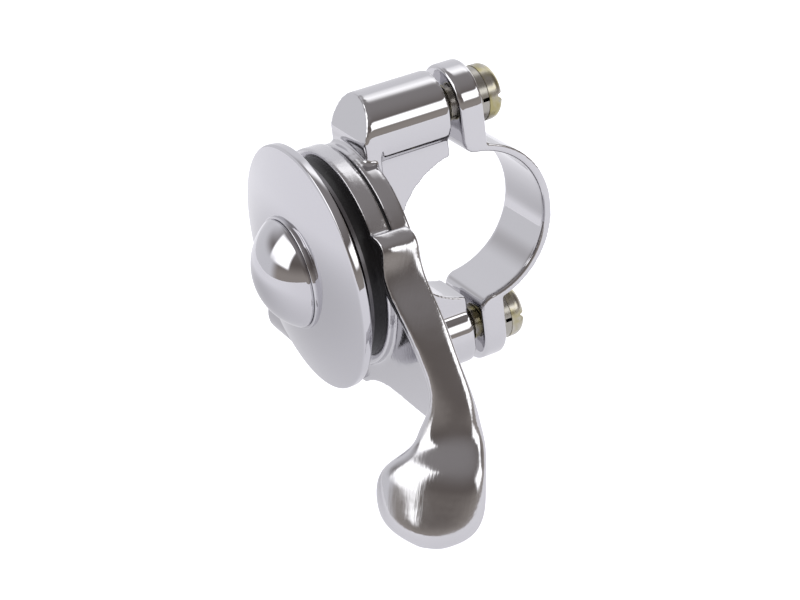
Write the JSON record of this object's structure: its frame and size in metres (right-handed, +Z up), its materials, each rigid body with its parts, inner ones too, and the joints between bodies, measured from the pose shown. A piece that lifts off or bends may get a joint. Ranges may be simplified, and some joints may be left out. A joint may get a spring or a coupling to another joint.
{
  "type": "handlebar friction control lever",
  "caption": "Chromed thumb lever on a round friction hub with a domed cover, held to a round handlebar by a two-screw clip; pulls a choke, air or advance cable",
  "frame": {"origin": "centre of the handlebar bore, in the middle of the clip's width", "axes": "+X along the handlebar, towards the thumb pad's side; +Z up; -Y out of the front, through the centre of the cover disc and the lever's pivot"},
  "size_m": [0.0574, 0.0439, 0.052],
  "materials": {
    "cast_chrome": "bright chrome plate over a polished casting",
    "clip_chrome": "bright chrome plate over formed steel",
    "lever_chrome": "bright chrome plate with a soft hand-polished wave",
    "cover_chrome": "mirror-bright chrome plate",
    "dome_chrome": "mirror-bright chrome plate",
    "passivated_steel": "zinc plate with a faint yellow passivation",
    "zinc_steel": "dull zinc plate",
    "grey_steel": "plain oiled steel",
    "spring_steel": "blued spring steel",
    "bronze": "sintered bronze, satin",
    "black_fibre": "black friction fibre, matt"
  },
  "bodies": {
    "housing": {"body": "cast_chrome", "clamp": "clip_chrome", "cover_disc": "cover_chrome", "dome_cap": "dome_chrome", "clamp_screw_upper": "passivated_steel", "clamp_screw_lower": "passivated_steel", "plain_washer_upper": "zinc_steel", "plain_washer_lower": "zinc_steel", "lock_washer_upper": "zinc_steel", "lock_washer_lower": "zinc_steel", "rear_friction_washer": "black_fibre", "front_friction_washer": "black_fibre", "cover_washer": "black_fibre", "pressure_plate": "grey_steel", "disc_spring": "spring_steel", "star_washer": "spring_steel", "pivot_screw": "zinc_steel", "stop_pin": "grey_steel"},
    "lever": {"lever": "lever_chrome", "pivot_bush": "bronze"}
  },
  "joints": [
    {"name": "lever_pivot", "type": "hinge", "parent": "housing", "child": "lever", "pos_m": [0, -0.0185, 0], "axis": [0, 1, 0], "range_deg": [-36, 58]}
  ]
}
